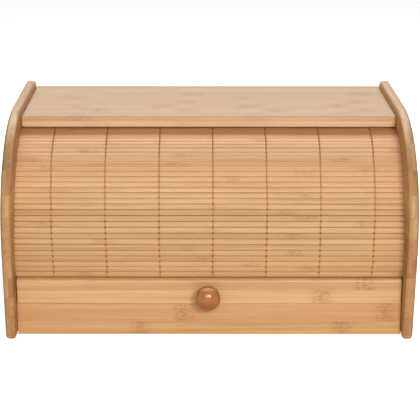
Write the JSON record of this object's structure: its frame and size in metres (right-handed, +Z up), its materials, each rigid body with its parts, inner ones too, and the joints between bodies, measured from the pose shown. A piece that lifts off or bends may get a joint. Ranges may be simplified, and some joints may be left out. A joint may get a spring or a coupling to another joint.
{
  "type": "roll-top bread box",
  "caption": "Countertop bread box with bellied side panels, a flat top shelf and a slatted roll-top curtain with a lift rail and turned knob.",
  "frame": {"origin": "on the table under the middle of the box's outer size", "axes": "+X along the box to its right, +Y from the curtain at the front to the back panel, +Z up"},
  "size_m": [0.4, 0.268, 0.21],
  "materials": {
    "panel_bamboo": "satin lacquer",
    "board_bamboo": "satin lacquer",
    "back_bamboo_sheet": "matt",
    "slat_bamboo": "satin lacquer",
    "rail_bamboo": "satin lacquer",
    "knob_wood": "gloss stain",
    "curtain_cloth": "plain canvas",
    "zinc_steel": "zinc plated"
  },
  "bodies": {
    "case": {"side_panel_left": "panel_bamboo", "side_panel_right": "panel_bamboo", "top_board": "board_bamboo", "front_board": "board_bamboo", "floor_board": "board_bamboo", "back_panel": "back_bamboo_sheet", "screw_left_top_1": "zinc_steel", "screw_left_top_2": "zinc_steel", "screw_left_floor_1": "zinc_steel", "screw_left_floor_2": "zinc_steel", "screw_left_front": "zinc_steel", "screw_right_top_1": "zinc_steel", "screw_right_top_2": "zinc_steel", "screw_right_floor_1": "zinc_steel", "screw_right_floor_2": "zinc_steel", "screw_right_front": "zinc_steel"},
    "curtain": {"lift_rail": "rail_bamboo", "knob": "knob_wood", "knob_screw": "zinc_steel", "backing_cloth": "curtain_cloth", "slat_01": "slat_bamboo", "slat_02": "slat_bamboo", "slat_03": "slat_bamboo", "slat_04": "slat_bamboo", "slat_05": "slat_bamboo", "slat_06": "slat_bamboo", "slat_07": "slat_bamboo", "slat_08": "slat_bamboo", "slat_09": "slat_bamboo", "slat_10": "slat_bamboo", "slat_11": "slat_bamboo", "slat_12": "slat_bamboo", "slat_13": "slat_bamboo", "slat_14": "slat_bamboo", "slat_15": "slat_bamboo", "slat_16": "slat_bamboo", "slat_17": "slat_bamboo", "slat_18": "slat_bamboo", "slat_19": "slat_bamboo", "slat_20": "slat_bamboo", "slat_21": "slat_bamboo", "slat_22": "slat_bamboo", "slat_23": "slat_bamboo", "slat_24": "slat_bamboo", "slat_25": "slat_bamboo", "slat_26": "slat_bamboo", "slat_27": "slat_bamboo", "slat_28": "slat_bamboo", "slat_29": "slat_bamboo", "slat_30": "slat_bamboo", "slat_31": "slat_bamboo", "slat_32": "slat_bamboo", "slat_33": "slat_bamboo", "slat_34": "slat_bamboo", "slat_35": "slat_bamboo"}
  },
  "joints": [
    {"name": "roll_top", "type": "hinge", "parent": "case", "child": "curtain", "pos_m": [0, -0.0039, 0.0847], "axis": [-1, 0, 0], "range_deg": [0, 96.5]}
  ]
}
